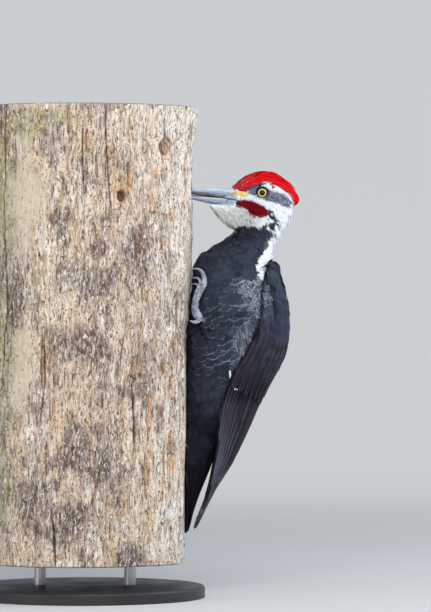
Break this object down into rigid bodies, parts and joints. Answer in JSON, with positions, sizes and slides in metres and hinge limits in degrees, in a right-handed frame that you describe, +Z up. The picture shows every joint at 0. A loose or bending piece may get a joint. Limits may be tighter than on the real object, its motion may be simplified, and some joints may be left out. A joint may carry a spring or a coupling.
{
  "type": "pileated woodpecker on a trunk perch",
  "caption": "Still life-size male pileated woodpecker clinging upright to a short cut log, bill tip in a pecked hole, on a plain round display stand.",
  "frame": {"origin": "centre of the round stand base's underside, on the floor", "axes": "+Z up along the log; the bird's bill points along -X, its back faces +X and its left side faces -Y; the bird is symmetric about the plane Y = 0"},
  "size_m": [0.3356, 0.24, 0.489],
  "materials": {
    "plumage": "soft overlapping body feathers: slate black with fine pale fringes, white face and neck stripes, red crest and cheek stripe",
    "flight_feather": "stiff brown-black vanes with a low sheen",
    "bill": "smooth blue-grey horn",
    "mouth": "dark red, moist",
    "eye": "wet gloss, pale yellow iris round a black pupil",
    "foot": "blue-grey scales",
    "claw": "smooth grey horn",
    "wood": "dead barkless wood, weathered and stained",
    "stand_metal": "satin black",
    "stand_steel": "brushed"
  },
  "bodies": {
    "root": {"bill_lower": "bill", "bill_upper": "bill", "claw_left_hind": "claw", "claw_left_inner": "claw", "claw_left_middle": "claw", "claw_left_outer": "claw", "claw_right_hind": "claw", "claw_right_inner": "claw", "claw_right_middle": "claw", "claw_right_outer": "claw", "crest": "plumage", "eye_left": "eye", "eye_right": "eye", "head": "plumage", "leg_left": "foot", "leg_right": "foot", "neck": "plumage", "perch_trunk": "wood", "stand_base": "stand_metal", "stand_rod_left": "stand_steel", "stand_rod_right": "stand_steel", "tail": "flight_feather", "tongue": "mouth", "torso": "plumage", "wing_left": "flight_feather", "wing_right": "flight_feather"}
  },
  "joints": []
}
